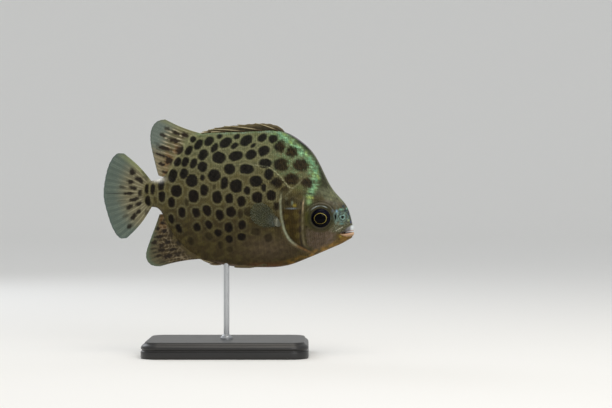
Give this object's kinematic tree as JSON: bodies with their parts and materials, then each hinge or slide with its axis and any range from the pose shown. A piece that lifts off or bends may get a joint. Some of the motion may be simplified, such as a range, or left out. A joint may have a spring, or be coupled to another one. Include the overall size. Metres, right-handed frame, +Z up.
{
  "type": "spotted scat model on a stand",
  "caption": "Life-size still model of a deep-bodied spotted fish, fins spread and spines folded, held level by a slim rod on a flat display base",
  "frame": {"origin": "centre of the stand's underside, on the rod's axis", "axes": "+X the way the snout points, +Y the fish's left, +Z up"},
  "size_m": [0.1405, 0.06, 0.1318],
  "materials": {
    "skin": "moist scaled skin with dark spots",
    "fin": "thin moist fin membrane on rays",
    "eye": "wet and glossy",
    "stand_base": "satin black lacquer",
    "stand_rod": "fine brushed"
  },
  "bodies": {
    "root": {"head": "skin", "lower_jaw": "skin", "gill_cover_right": "skin", "gill_cover_left": "skin", "torso": "skin", "tail_stalk": "skin", "eye_right": "eye", "eye_left": "eye", "dorsal_fin_spiny": "skin", "dorsal_fin_soft": "fin", "tail_fin": "fin", "anal_fin_spines": "skin", "anal_fin_soft": "fin", "pectoral_fin_right": "fin", "pectoral_fin_left": "fin", "pelvic_fin_right": "fin", "pelvic_fin_left": "fin", "stand_base": "stand_base", "stand_rod": "stand_rod"}
  },
  "joints": []
}
